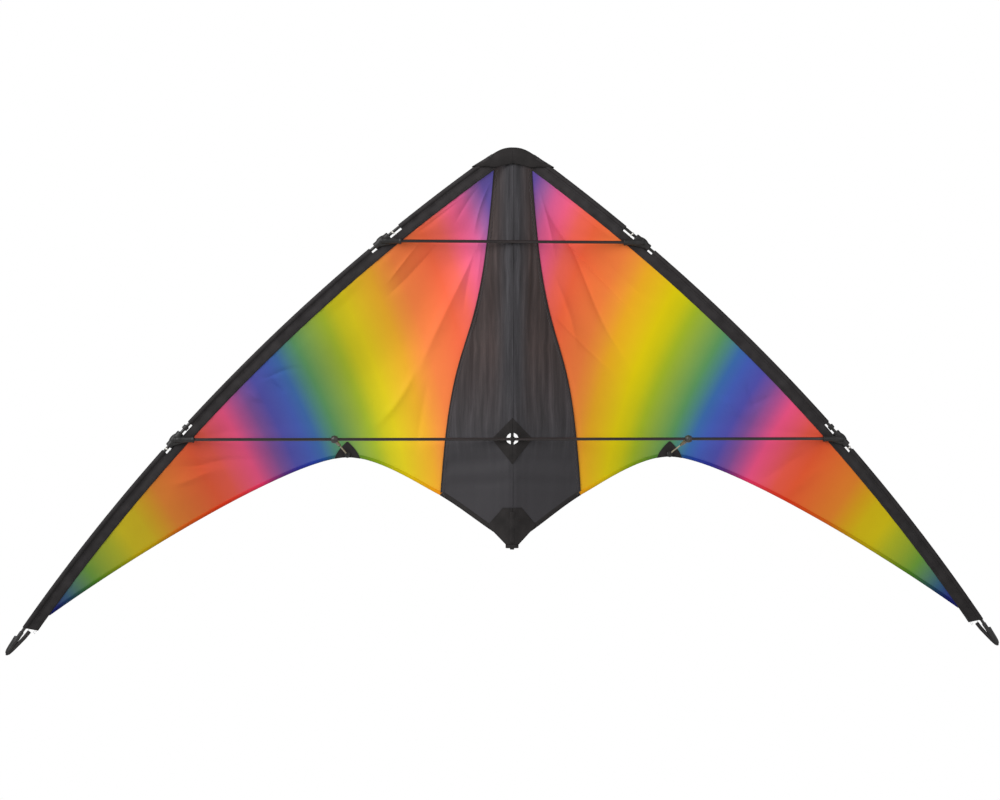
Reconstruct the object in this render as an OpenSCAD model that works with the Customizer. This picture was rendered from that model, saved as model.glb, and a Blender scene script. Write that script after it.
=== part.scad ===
// Two-line delta stunt kite, shown flown upright and seen from its pilot's side.
// +X is the kite's right, +Z points to the nose and the pilot's side faces -Y.
// The origin is where the lower spreader crosses the spine.

/* [Leading edges] */
// Half distance between the two leading-edge rods at the nose
nose_half = 28; // [26:1:32]
// Height of the leading-edge rods' nose ends
nose_z = 375; // [370:1:380]
// Half distance between the leading-edge rods' tip ends
tip_half = 648; // [630:1:660]
// Height of the tip ends
tip_z = -258; // [-270:1:-250]
// How far each rod bows out from the straight line between its ends
edge_bow = 38; // [30:1:46]
// Diameter of the frame's rods
rod_d = 4; // [3.5:0.1:4.2]
// Width of the flat seam band between a rod and the sail
band_w = 16.2; // [14:0.2:18]
// Thickness of the seam band
band_t = 1; // [0.8:0.1:1]
// Outer diameter of the fabric sleeve around a rod
sleeve_d = 5.6; // [5.4:0.1:5.8]

/* [Spine] */
// Distance of the spine's axis behind the sail's centre line
spine_y = 2.6; // [2.6:0.1:3]
// Height of the spine's lower end
spine_bottom = -146; // [-148:1:-144]
// Height of the spine's upper end
spine_top = 377; // [374:1:378]
// Half width of the centre seam tape, where the wings fold
fold_x = 5; // [5:0.5:6]

/* [Spreaders] */
// Distance of the spreaders' axes in front of the leading edges
spreader_y = -4.2; // [-4.6:0.1:-4.2]
// Height of the upper spreader
upper_z = 262; // [250:1:275]
// Reach of a connector's socket from its leading-edge rod
socket_reach = 26; // [24:1:28]
// Outer diameter of a socket
socket_d = 6.8; // [6.4:0.1:6.8]

/* [Sail] */
// Thickness of the sail cloth
cloth_t = 0.6; // [0.5:0.1:0.6]
// Depth of the billow as a share of the distance from the nose
billow = 0.106; // [0.08:0.002:0.12]
// Share of a wing's angle at which the billow is deepest
billow_peak = 0.56; // [0.5:0.01:0.6]
// Radius of the hole where the spine and the lower spreader meet
centre_hole_r = 8.2; // [8:0.1:9]

/* [Standoffs] */
// Distance of each standoff clip from the centre
clip_x = 236; // [234:1:238]
// Diameter of the clip's ball
clip_d = 10.4; // [9.8:0.1:11]
// Diameter of the standoff rod
standoff_d = 1.8; // [1.6:0.1:2.2]
// Diameter of the fitting on the trailing edge
fitting_d = 9.3; // [9:0.1:9.6]

/* [Hidden] */
$fn = 48;

rod_r = rod_d / 2;
fit = 0.05;
lower_z = 0;

// Arc of a leading edge in the X-Z plane, from its two ends and its bow
edge_run = [tip_half - nose_half, tip_z - nose_z];
edge_chord = norm(edge_run);
edge_r = edge_chord * edge_chord / (8 * edge_bow) + edge_bow / 2;
edge_out = [-edge_run[1], edge_run[0]] / edge_chord;
edge_mid = [nose_half + tip_half, nose_z + tip_z] / 2;
edge_centre = edge_mid - edge_out * (edge_r - edge_bow);
nose_angle = edge_angle(nose_z, edge_r);
tip_angle = edge_angle(tip_z, edge_r);
mm_angle = 180 / (PI * edge_r);

// Stations along a leading edge, as angles of its arc
upper_angle = edge_angle(upper_z, edge_r);
lower_angle = edge_angle(lower_z, edge_r);
sleeve_start = nose_angle - 12 * mm_angle;
sleeve_end = tip_angle + 14 * mm_angle;
upper_cut = [upper_angle + 31 * mm_angle, upper_angle - 20 * mm_angle];
lower_cut = [lower_angle + 31 * mm_angle, lower_angle - 20 * mm_angle];
cut_band = 5;

// Sail outline points as [x, z]
panel_r = edge_r - band_w - 0.3;
seam_z = 357;
cloth_top = 368;
sail_top = band_point(seam_z);
panel_foot = [93.6, -77];
standoff_foot = [219, -26.3];
sail_tip = band_point(-231);
crown_share = 1 / 21;
panel_side = [sail_top, [44, 76], [77, 182], panel_foot];
inner_hem = [panel_foot, [119, -65], [175, -26.3], standoff_foot];
outer_hem = [standoff_foot, [285, -26.3], [480, -139], sail_tip];
panel_hem = [[fold_x + 0.3, -139.2], [34, -121], [61, -96], panel_foot];
tape_foot = -137.5;
hem_split = 0.24;

// Frame of the billow's rays, which start at the nose end of the fold
apex_z = 375;
centre_far = norm([edge_centre[0] - fold_x, edge_centre[1] - apex_z]);
centre_dir = atan2(edge_centre[0] - fold_x, apex_z - edge_centre[1]);

// Nose patch
nose_top = 387;
nose_corner = edge_point(edge_angle(357.5, edge_r), edge_r + 4.6);
patch_front = -4.2;
patch_back = 6.2;
patch_wall = 0.8;

// Standoff ends
clip_point = [clip_x, spreader_y, lower_z];
fitting_point = [219, depth_at([219, -23]), -23];

function edge_angle(z, r) = asin((z - edge_centre[1]) / r);
function edge_point(a, r) = edge_centre + r * [cos(a), sin(a)];
function bezier(p, t) =
  pow(1 - t, 3) * p[0] + 3 * pow(1 - t, 2) * t * p[1] + 3 * (1 - t) * t * t * p[2] + t * t * t * p[3];

// Billow: straight from the fold to a rounded ridge and back to the leading edge along every ray
function slope(s) = s * (1.25 - 0.25 * pow(s, 4));
function ridge(w) = slope(w < billow_peak ? w / billow_peak : (1 - w) / (1 - billow_peak));
function ray_limit(r) =
  centre_dir + acos((r * r + centre_far * centre_far - panel_r * panel_r) / (2 * r * centre_far));
function depth_at(p) =
  let (x = max(0, p[0] - fold_x), drop = apex_z - p[1], r = norm([x, drop]))
  r * billow * ridge(min(1, max(0, atan2(x, drop) / ray_limit(r))));

// Places on the sail's pieces, u across and v down
function hem_at(u) =
  u < hem_split ? bezier(inner_hem, u / hem_split) : bezier(outer_hem, (u - hem_split) / (1 - hem_split));
function sail_side(v) = bezier(panel_side, v) + [0.25, 0];
function band_point(z) = edge_point(edge_angle(z, panel_r), panel_r);
function sail_edge(v) =
  edge_point(edge_angle(sail_top[1], panel_r) * (1 - v) + edge_angle(sail_tip[1], panel_r) * v, panel_r);
function sail_at(u, v) =
  (1 - u) * sail_side(v) + u * sail_edge(v) + v * (hem_at(u) - (1 - u) * panel_foot - u * sail_tip);
function centre_at(u, v) =
  let (inner = [fold_x + 0.3, seam_z * (1 - v) + panel_hem[0][1] * v], outer = bezier(panel_side, v))
  (1 - u) * inner + u * outer
  + v * (bezier(panel_hem, u) - (1 - u) * panel_hem[0] - u * panel_foot);
// Above the sail's top corner the centre panel runs up beside the seam band, under the nose patch
function crown_at(u, v) =
  let (z = cloth_top * (1 - v) + seam_z * v)
  (1 - u) * [fold_x + 0.3, z] + u * band_point(z);
function whole_panel_at(u, v) =
  v < crown_share ? crown_at(u, v / crown_share) : centre_at(u, (v - crown_share) / (1 - crown_share));

// A thin sheet that follows the billow: place(u, v) gives [x, z] over columns by rows cells
module sheet(place, columns, rows, front, thick, top = 0) {
  wide = columns + 1;
  spots = [for (j = [0:rows]) for (i = [0:columns]) place(i / columns, top + (1 - top) * j / rows)];
  count = len(spots);
  skin = [for (side = [0, 1]) for (p = spots) [p[0], depth_at([abs(p[0]), p[1]]) + front + side * thick, p[1]]];
  cells = [for (j = [0:rows - 1]) for (i = [0:columns - 1]) j * wide + i];
  rim = concat(
    [for (i = [0:columns - 1]) i],
    [for (j = [0:rows - 1]) j * wide + columns],
    [for (i = [columns:-1:1]) rows * wide + i],
    [for (j = [rows:-1:1]) j * wide]
  );
  last = len(rim);
  faces = concat(
    [for (c = cells) [c, c + 1, c + wide + 1]],
    [for (c = cells) [c, c + wide + 1, c + wide]],
    [for (c = cells) [count + c, count + c + wide + 1, count + c + 1]],
    [for (c = cells) [count + c, count + c + wide, count + c + wide + 1]],
    [for (k = [0:last - 1]) [rim[(k + 1) % last], rim[k], count + rim[k]]],
    [for (k = [0:last - 1]) [rim[(k + 1) % last], count + rim[k], count + rim[(k + 1) % last]]]
  );
  polyhedron(skin, faces, convexity = 6);
}

// Turns and moves a shape that stands on +Z so that it runs from p towards q
module along(p, q) {
  run = q - p;
  translate(p) rotate([0, acos(run[2] / norm(run)), atan2(run[1], run[0])]) children();
}

// Sweeps a flat profile, drawn in x from the arc's centre and y through the cloth, along a leading edge
module sweep(from, to) {
  translate([edge_centre[0], 0, edge_centre[1]]) rotate([90, 0, 0]) rotate([0, 0, to])
    rotate_extrude(angle = from - to, $fn = 720) children();
}

// Puts a shape that stands on +Z, centred, on the rod at angle a, with +Z towards the nose
// and +X away from the kite
module on_edge(a) {
  p = edge_point(a, edge_r);
  translate([p[0], 0, p[1]]) rotate([0, -a, 0]) children();
}

module wing(side) {
  mirror([side < 0 ? 1 : 0, 0, 0]) children();
}

module slab(y0, y1) {
  translate([0, y1, 0]) rotate([90, 0, 0]) linear_extrude(y1 - y0) children();
}

module round_box(size, r) {
  square([size[0], size[1] - 2 * r], center = true);
  square([size[0] - 2 * r, size[1]], center = true);
  for (x = [-1, 1], y = [-1, 1])
    translate([x * (size[0] / 2 - r), y * (size[1] / 2 - r)]) circle(r);
}

module spine_rod() {
  color("#1f1d1c") translate([0, spine_y, spine_bottom]) cylinder(r = rod_r, h = spine_top - spine_bottom);
}

module end_cap(depth, wall, end) {
  difference() {
    cylinder(r = rod_r + wall, h = depth + end);
    translate([0, 0, -1]) cylinder(r = rod_r + fit, h = depth + 1);
  }
}

module spine_nose_cap() {
  color("#1a1a1a") translate([0, spine_y, spine_top - 7]) end_cap(7 + fit, 0.8, 1);
}

module spine_tail_cap() {
  color("#1a1a1a") translate([0, spine_y, spine_bottom + 8]) mirror([0, 0, 1]) end_cap(8 + fit, 0.8, 1.5);
}

module centre_hole() {
  slab(-6, 6) circle(centre_hole_r);
}

module centre_tape() {
  color("#4a484a") difference() {
    translate([-fold_x, -cloth_t / 2, tape_foot])
      cube([2 * fold_x, cloth_t, cloth_top - tape_foot]);
    centre_hole();
  }
}

module nose_outline() {
  flat = 6;
  reach = 30;
  drop = 0.0135;
  brow = [for (x = [-reach:5:reach]) [x, nose_top - drop * pow(max(0, abs(x) - flat), 2)]];
  polygon(concat(
    [[-nose_corner[0], nose_corner[1]]],
    brow,
    [nose_corner, [22, nose_corner[1] + 0.5], [0, 365.5], [-22, nose_corner[1] + 0.5]]
  ));
}

module nose_patch() {
  color("#262524") difference() {
    slab(patch_front, patch_back) nose_outline();
    translate([0, 0, -patch_wall]) slab(patch_front + patch_wall, patch_back - patch_wall) nose_outline();
    slab(patch_front + patch_wall, patch_back - patch_wall) polygon([[-80, 350], [80, 350], [40, 364], [-40, 364]]);
  }
}

// Tail patch: u runs across and v down, from a narrow top to its corners and in to the tail
function tail_half(v) = v < 0.45 ? 9 + 22 * sqrt(v / 0.45) : 31 - 22.5 * (v - 0.45) / 0.55;
function tail_at(u, v) = [(2 * u - 1) * tail_half(v), -92 - 46.5 * v];

module tail_patch() {
  color("#262524") sheet(function(u, v) tail_at(u, v), 24, 10, -1.35, 0.7);
}

module tail_tab() {
  half = 9.1;
  color("#262524") difference() {
    translate([-half, spine_y - 3.7, -145.7]) cube([2 * half, 7.4, 6.3]);
    translate([0, spine_y, -150]) cylinder(r = rod_r + 0.8 + fit, h = 20);
  }
}

// Centre patch: a diamond, u across and v down
function diamond_half(v) = v < 0.455 ? 27.2 * v / 0.455 : 27.2 * (1 - v) / 0.545;
function diamond_at(u, v) = [(2 * u - 1) * max(0.8, diamond_half(v)), 28 - 61.5 * v];

module centre_patch() {
  color("#262524") difference() {
    sheet(function(u, v) diamond_at(u, v), 24, 11, -1.35, 0.7);
    centre_hole();
  }
}

module centre_lashing() {
  thick = 1.2;
  clear = 0.3;
  wide = 2 * (rod_r * sqrt(2) + thick / 2 + clear);
  front = spreader_y - rod_r - clear;
  back = spine_y + rod_r + clear;
  color("#1a1a1a") for (turn = [-45, 45])
    rotate([0, turn, 0]) translate([0, (front + back) / 2, -thick / 2]) linear_extrude(thick) difference() {
      round_box([wide + 2, back - front + 2], 2);
      round_box([wide, back - front], 1);
    }
}

module spreader(z) {
  half = edge_point(edge_angle(z, edge_r), edge_r)[0] - 5;
  translate([-half, spreader_y, z]) rotate([0, 90, 0]) cylinder(r = rod_r, h = 2 * half);
}

module upper_spreader_rod() {
  color("#262322") spreader(upper_z);
}

module lower_spreader_rod() {
  color("#262322") spreader(lower_z);
}

module edge_rod(side) {
  color("#1f1d1c") wing(side) sweep(nose_angle, tip_angle) translate([edge_r, 0]) circle(rod_r);
}

module rod_nose_cap(side) {
  color("#1a1a1a") wing(side) on_edge(nose_angle) translate([0, 0, -7]) end_cap(7 + fit, 0.7, 1);
}

module sleeve_profile(tube) {
  inner = edge_r - band_w;
  outer = edge_r - cut_band;
  translate([inner, -band_t / 2]) square([outer - inner, band_t]);
  if (tube) difference() {
    union() {
      translate([edge_r, 0]) circle(d = sleeve_d);
      translate([outer - 0.5, -band_t / 2]) square([cut_band + 0.5, band_t]);
    }
    translate([edge_r, 0]) circle(rod_r + 0.15);
  }
}

module edge_sleeve(side) {
  color("#333031") wing(side) {
    sweep(sleeve_start, sleeve_end) sleeve_profile(false);
    sweep(sleeve_start, upper_cut[0]) sleeve_profile(true);
    sweep(upper_cut[1], lower_cut[0]) sleeve_profile(true);
    sweep(lower_cut[1], sleeve_end) sleeve_profile(true);
  }
}

module sail(side) {
  color("#ec8138") wing(side) sheet(function(u, v) sail_at(u, v), 26, 20, -cloth_t / 2, cloth_t, 0.006);
}

module centre_panel(side) {
  color("#4a484a") wing(side) difference() {
    sheet(function(u, v) whole_panel_at(u, v), 8, 21, -cloth_t / 2, cloth_t);
    centre_hole();
  }
}

// Moulded rubber connector: a tube on the leading-edge rod and a blind socket for a spreader's end
module connector(side, z) {
  tube_long = 24;
  tube_r = 4.7;
  a = edge_angle(z, edge_r);
  x = edge_point(a, edge_r)[0];
  mouth = x - socket_reach;
  color("#1a1a1a") wing(side) difference() {
    union() {
      on_edge(a) translate([0, 0, -tube_long / 2]) cylinder(r = tube_r, h = tube_long);
      on_edge(a) translate([0.8, 0, 0]) sphere(r = tube_r + 0.7);
      translate([mouth, spreader_y, z]) rotate([0, 90, 0]) cylinder(d = socket_d, h = socket_reach);
      translate([x, spreader_y, z]) sphere(d = socket_d);
      translate([mouth, spreader_y, z]) rotate([0, 90, 0]) cylinder(d = socket_d + 0.8, h = 2);
    }
    on_edge(a) translate([0, 0, -tube_long]) cylinder(r = rod_r + 0.1, h = 2 * tube_long);
    translate([mouth - 1, spreader_y, z]) rotate([0, 90, 0])
      cylinder(r = rod_r + fit, h = socket_reach - 5 + 1 + 2 * fit);
  }
}

module upper_connector(side) {
  connector(side, upper_z);
}

module lower_connector(side) {
  connector(side, lower_z);
}

// Ring glued to the rod, which keeps the lower connector from sliding up
module stop_ring(side) {
  color("#1a1a1a") wing(side) on_edge(lower_angle + 21 * mm_angle) difference() {
    translate([0, 0, -3]) cylinder(d = 7.7, h = 6);
    translate([0, 0, -4]) cylinder(r = rod_r + fit, h = 8);
  }
}

// Short end of a bridle line, looped round the rod and knotted in front
module bridle_loop(side, a) {
  line_d = 1;
  ring_r = rod_r + 0.1 + line_d / 2;
  color("#e8e6e0") wing(side) on_edge(a) {
    rotate_extrude() translate([ring_r, 0]) circle(d = line_d, $fn = 24);
    translate([0, -ring_r - 0.9, 0]) sphere(d = 2.4, $fn = 24);
  }
}

module upper_bridle_loop(side) {
  bridle_loop(side, upper_angle + 15 * mm_angle);
}

module lower_bridle_loop(side) {
  bridle_loop(side, lower_angle - 15 * mm_angle);
}

// Arrow nock on the rod's tip: a socket, a barb on the outer side and a rounded point
module tip_nock(side) {
  color("#1c1b1b") wing(side) on_edge(tip_angle) difference() {
    union() {
      translate([0, 0, -6]) cylinder(d = sleeve_d, h = 14);
      translate([0, 0, -24]) cylinder(d1 = 3.4, d2 = sleeve_d, h = 18);
      translate([0, 0, -24]) sphere(d = 3.4);
      slab(-1.3, 1.3) polygon([[1, -1], [6.2, -1.5], [5.6, -7], [1, -19]]);
    }
    translate([0, 0, -fit]) cylinder(r = rod_r + fit, h = 12);
  }
}

// Tension line from the sleeve's end along the nock's inner side and round its point
module tip_cord(side) {
  line_r = 1.2;
  path = [[-7.1, 12.5], [-6.4, 4], [-4.3, -8], [-3.5, -19], [-3.2, -24.5], [-1.9, -27.3], [0.6, -27.8]];
  color("#1a1a1a") wing(side) on_edge(tip_angle)
    for (k = [1:len(path) - 1]) hull() {
      translate([path[k - 1][0], 0, path[k - 1][1]]) sphere(line_r, $fn = 24);
      translate([path[k][0], 0, path[k][1]]) sphere(line_r, $fn = 24);
    }
}

// Reinforcement on the trailing edge at a standoff: a low triangle with a blunt top
standoff_patch_x = 219;
function hem_z(x) = standoff_foot[1] - 0.35 * pow((x - standoff_patch_x) / 10, 2);
function standoff_patch_at(u, v) =
  let (half = 1 + 16 * (1 - pow(1 - v, 1.5)), x = standoff_patch_x + (2 * u - 1) * half)
  [x, hem_z(x) + 0.4 + 21 * (1 - v)];

module standoff_patch(side) {
  color("#262524") wing(side)
    sheet(function(u, v) standoff_patch_at(u, v), 8, 10, -cloth_t / 2 - 1, 0.5);
}

module standoff_fitting(side) {
  tilt = 6.4;
  slot_front = -2;
  slot_back = 1;
  slot_foot = -3.9;
  reach = norm(clip_point - fitting_point);
  color("#1a1a1a") wing(side) difference() {
    translate(fitting_point) sphere(d = fitting_d);
    translate(fitting_point) rotate([tilt, 0, 0])
      translate([-fitting_d, slot_front, slot_foot]) cube([2 * fitting_d, slot_back - slot_front, 2 * fitting_d]);
    along(clip_point, fitting_point) translate([0, 0, reach - 10]) cylinder(d = standoff_d + 2 * fit, h = 10);
  }
}

// Clip that snaps round the lower spreader, with a peg for the cup
module standoff_clip(side) {
  color("#3a3836") wing(side) difference() {
    union() {
      translate(clip_point) sphere(d = clip_d);
      along(clip_point, fitting_point) cylinder(d = 3, h = 9);
    }
    translate(clip_point) rotate([0, 90, 0]) cylinder(r = rod_r + fit, h = 20, center = true);
  }
}

// Clear sleeve that joins the clip's peg to the standoff rod
module standoff_cup(side) {
  color([0.75, 0.68, 0.6, 0.5]) wing(side) along(clip_point, fitting_point) difference() {
    translate([0, 0, 5.6]) cylinder(d = 5.2, h = 18);
    translate([0, 0, 5]) cylinder(d = 3 + 2 * fit, h = 4.2);
    translate([0, 0, 9]) cylinder(d = standoff_d + 2 * fit, h = 16);
  }
}

module standoff_rod(side) {
  reach = norm(clip_point - fitting_point);
  color("#d8cfc0") wing(side) along(clip_point, fitting_point)
    translate([0, 0, 9.3]) cylinder(d = standoff_d, h = reach - 9.3 - 2.2);
}

spine_rod();
spine_nose_cap();
spine_tail_cap();
centre_tape();
nose_patch();
tail_patch();
tail_tab();
centre_patch();
centre_lashing();
upper_spreader_rod();
lower_spreader_rod();
edge_rod(-1);  // left_edge_rod
rod_nose_cap(-1);  // left_rod_nose_cap
edge_sleeve(-1);  // left_edge_sleeve
sail(-1);  // left_sail
centre_panel(-1);  // left_centre_panel
upper_connector(-1);  // left_upper_connector
lower_connector(-1);  // left_lower_connector
stop_ring(-1);  // left_stop_ring
upper_bridle_loop(-1);  // left_upper_bridle_loop
lower_bridle_loop(-1);  // left_lower_bridle_loop
tip_nock(-1);  // left_tip_nock
tip_cord(-1);  // left_tip_cord
standoff_patch(-1);  // left_standoff_patch
standoff_fitting(-1);  // left_standoff_fitting
standoff_clip(-1);  // left_standoff_clip
standoff_cup(-1);  // left_standoff_cup
standoff_rod(-1);  // left_standoff_rod
edge_rod(1);  // right_edge_rod
rod_nose_cap(1);  // right_rod_nose_cap
edge_sleeve(1);  // right_edge_sleeve
sail(1);  // right_sail
centre_panel(1);  // right_centre_panel
upper_connector(1);  // right_upper_connector
lower_connector(1);  // right_lower_connector
stop_ring(1);  // right_stop_ring
upper_bridle_loop(1);  // right_upper_bridle_loop
lower_bridle_loop(1);  // right_lower_bridle_loop
tip_nock(1);  // right_tip_nock
tip_cord(1);  // right_tip_cord
standoff_patch(1);  // right_standoff_patch
standoff_fitting(1);  // right_standoff_fitting
standoff_clip(1);  // right_standoff_clip
standoff_cup(1);  // right_standoff_cup
standoff_rod(1);  // right_standoff_rod
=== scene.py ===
"""Delta stunt kite: cloth, patches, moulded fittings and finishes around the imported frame.

Lengths in this script are millimetres, as in the CAD, and become metres when a mesh is made.
Each wing is worked out as the right one, on +X, and mirrored for the left.
"""
import math

import bmesh
import bpy
import numpy as np
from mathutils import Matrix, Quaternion, Vector


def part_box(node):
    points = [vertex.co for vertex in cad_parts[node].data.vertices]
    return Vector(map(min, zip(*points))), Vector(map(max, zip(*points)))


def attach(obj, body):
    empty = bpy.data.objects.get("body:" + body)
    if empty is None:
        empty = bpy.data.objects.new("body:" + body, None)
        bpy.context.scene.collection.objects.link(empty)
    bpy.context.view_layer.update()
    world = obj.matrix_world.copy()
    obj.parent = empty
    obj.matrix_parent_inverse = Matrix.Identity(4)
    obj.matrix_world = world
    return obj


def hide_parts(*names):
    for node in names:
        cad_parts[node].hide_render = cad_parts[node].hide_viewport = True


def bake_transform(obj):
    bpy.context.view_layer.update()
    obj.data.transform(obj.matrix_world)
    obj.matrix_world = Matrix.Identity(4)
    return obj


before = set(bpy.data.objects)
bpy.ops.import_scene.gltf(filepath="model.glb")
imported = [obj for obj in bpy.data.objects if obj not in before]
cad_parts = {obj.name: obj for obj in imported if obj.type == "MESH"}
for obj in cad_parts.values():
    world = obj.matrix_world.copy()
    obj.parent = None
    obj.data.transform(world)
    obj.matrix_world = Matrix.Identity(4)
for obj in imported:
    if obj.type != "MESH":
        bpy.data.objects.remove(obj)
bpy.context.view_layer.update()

MM = 0.001
SIDES = {"left": -1, "right": 1}


# ---------------------------------------------------------------- what the frame says

def node_points(name):
    """The corners of a CAD node's mesh, in millimetres."""
    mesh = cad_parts[name].data
    flat = np.zeros(len(mesh.vertices) * 3, np.float32)
    mesh.vertices.foreach_get("co", flat)
    return flat.reshape(-1, 3).astype(float) / MM


def box_mm(name):
    low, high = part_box(name)
    return np.array(low) / MM, np.array(high) / MM


def circle_through(points):
    """Centre (x, z) and radius of the circle nearest to points, by least squares."""
    x, z = points[:, 0], points[:, 2]
    terms = np.column_stack([2 * x, 2 * z, np.ones(len(x))])
    cx, cz, rest = np.linalg.lstsq(terms, x * x + z * z, rcond=None)[0]
    return np.array([cx, cz]), math.sqrt(rest + cx * cx + cz * cz)


EDGE_CENTRE, EDGE_R = circle_through(node_points("right_edge_rod"))
ROD_R = (box_mm("spine_rod")[1][0] - box_mm("spine_rod")[0][0]) / 2
SPINE_Y = sum(box_mm("spine_rod"))[1] / 2
SPREADER_Y = sum(box_mm("upper_spreader_rod"))[1] / 2
UPPER_Z = sum(box_mm("upper_spreader_rod"))[2] / 2
LOWER_Z = sum(box_mm("lower_spreader_rod"))[2] / 2
FOLD_X = box_mm("centre_tape")[1][0]
NOSE_TOP = box_mm("nose_patch")[1][2]
NOSE_CORNER_X = box_mm("nose_patch")[1][0]
CLOTH_TOP = box_mm("centre_tape")[1][2]
TAPE_LOW = box_mm("centre_tape")[0][2]
PANEL_LOW = box_mm("right_centre_panel")[0][2]


def edge_angle(z, radius):
    return np.arcsin((z - EDGE_CENTRE[1]) / radius)


def edge_point(angle, radius):
    """(x, z) on the arc of that radius about the leading edge's centre."""
    angle = np.asarray(angle, float)
    return EDGE_CENTRE + np.asarray(radius)[..., None] * np.stack([np.cos(angle), np.sin(angle)], -1)


ROD_ANGLES = np.arctan2(
    node_points("right_edge_rod")[:, 2] - EDGE_CENTRE[1],
    node_points("right_edge_rod")[:, 0] - EDGE_CENTRE[0],
)
NOSE_ANGLE, TIP_ANGLE = ROD_ANGLES.max(), ROD_ANGLES.min()
MM_ANGLE = 1 / EDGE_R
UPPER_ANGLE = edge_angle(UPPER_Z, EDGE_R)
LOWER_ANGLE = edge_angle(LOWER_Z, EDGE_R)

# Sleeve: where it starts, its two cut-outs and where it ends, along the leading edge
BAND_W = 16.2
SLEEVE_R = 2.95
CUT_BAND = 4.7
SLEEVE_ENDS = (NOSE_ANGLE - 4 * MM_ANGLE, TIP_ANGLE + 14 * MM_ANGLE)
CUT_OUTS = [(at + 30 * MM_ANGLE, at - 20 * MM_ANGLE) for at in (UPPER_ANGLE, LOWER_ANGLE)]

# Sail outline, as in the CAD
PANEL_R = EDGE_R - BAND_W - 0.3
SEAM_Z = 357
HEM_SPLIT = 0.24
CENTRE_HOLE_R = 8.2


def band_point(z):
    return edge_point(edge_angle(z, PANEL_R), PANEL_R)


SAIL_TOP = band_point(SEAM_Z)
SAIL_TIP = band_point(-231)
PANEL_FOOT = np.array([93.6, -77.0])
STANDOFF_FOOT = np.array([219.0, -26.3])
PANEL_SIDE = np.array([SAIL_TOP, [44, 76], [77, 182], PANEL_FOOT])
INNER_HEM = np.array([PANEL_FOOT, [119, -65], [175, -26.3], STANDOFF_FOOT])
OUTER_HEM = np.array([STANDOFF_FOOT, [285, -26.3], [480, -139], SAIL_TIP])
PANEL_HEM = np.array([[0, PANEL_LOW], [32, -122], [61, -96], PANEL_FOOT])


def bezier(corners, t):
    """Points of the cubic curve with those four control points."""
    t = np.asarray(t, float)[..., None]
    a, b, c, d = corners
    return (1 - t) ** 3 * a + 3 * (1 - t) ** 2 * t * b + 3 * (1 - t) * t * t * c + t**3 * d


# ---------------------------------------------------------------- the billow and its creases

BILLOW = 0.106
PEAK = 0.56
APEX_Z = 375
FAR = EDGE_CENTRE - [FOLD_X, APEX_Z]
FAR_LENGTH = np.hypot(*FAR)
FAR_TURN = math.atan2(FAR[0], -FAR[1])


def polar(x, z):
    """Distance from the nose end of the fold, and the share of the wing's angle, 0 at the fold and 1 at the
    seam."""
    x = np.maximum(0, x - FOLD_X)
    drop = APEX_Z - z
    r = np.maximum(np.hypot(x, drop), 8)
    near = np.clip((r * r + FAR_LENGTH**2 - PANEL_R**2) / (2 * r * FAR_LENGTH), -1, 1)
    limit = np.maximum(FAR_TURN + np.arccos(near), 0.05)
    return r, np.clip(np.arctan2(x, drop) / limit, 0, 1), limit


def depth(x, z):
    """Billow as in the CAD: straight from the fold to a rounded ridge and back to the seam along every
    ray."""
    r, share, _ = polar(x, z)
    s = np.where(share < PEAK, share / PEAK, (1 - share) / (1 - PEAK))
    return r * BILLOW * s * (1.25 - 0.25 * s**4)


# Creases: points (height, distance from the centre line) each runs through, how far it spreads inwards and
# outwards, and its height, below zero for a fold that stands towards the viewer
CREASES = {
    "left": [
        ([(348, 26), (305, 44), (262, 51)], 3, 5, -2.4),
        ([(342, 40), (312, 62), (282, 78)], 4, 4, 1.8),
        ([(266, 45), (215, 58), (160, 65)], 6, 8, 2.6),
        ([(270, 41), (232, 44), (190, 50)], 4, 5, -1.8),
        ([(305, 27), (237, 57), (173, 84), (127, 110), (66, 129)], 15, 9, -6.7),
        ([(102, 124), (57, 146), (6, 188)], 5, 8, -3.2),
        ([(264, 96), (222, 133), (180, 176)], 7, 6, 2.5),
        ([(268, 118), (238, 142), (200, 170)], 4, 5, -2.1),
        ([(324, 62), (292, 102), (264, 141)], 4, 4, 1.7),
        ([(86, 108), (30, 120), (-30, 127)], 5, 6, 1.9),
        ([(98, 286), (76, 338)], 4, 5, 1.9),
        ([(70, 365), (46, 328)], 4, 4, -1.9),
        ([(86, 326), (58, 300)], 4, 4, 1.5),
        ([(-22, 366), (-40, 436)], 7, 7, 2.3),
        ([(-36, 384), (-66, 452)], 6, 8, -1.9),
    ],
    "right": [
        ([(346, 30), (300, 45), (232, 60)], 4, 5, -2.2),
        ([(335, 38), (262, 76), (232, 100), (200, 135), (152, 176)], 6, 12, 5.5),
        ([(305, 52), (245, 85), (180, 113), (118, 146), (90, 168)], 5, 9, 3.8),
        ([(180, 42), (130, 92), (80, 147)], 4, 7, 2.9),
        ([(226, 54), (165, 78), (112, 92)], 8, 7, -2.7),
        ([(258, 108), (215, 150), (176, 196)], 8, 7, 2.1),
        ([(324, 62), (292, 100), (262, 142)], 4, 5, -1.7),
        ([(80, 314), (26, 337)], 4, 4, 1.9),
        ([(60, 285), (22, 314)], 4, 5, -1.9),
        ([(62, 352), (38, 318)], 4, 4, 1.5),
        ([(-12, 404), (-66, 336)], 8, 7, 2.1),
        ([(-30, 432), (-84, 372)], 7, 9, -1.7),
    ],
}


def window(value, start, end, soft):
    """1 between start and end, falling smoothly to 0 over soft on both sides."""
    rise = np.clip((value - start) / soft, 0, 1)
    fall = np.clip((end - value) / soft, 0, 1)
    return rise * rise * (3 - 2 * rise) * fall * fall * (3 - 2 * fall)


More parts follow.
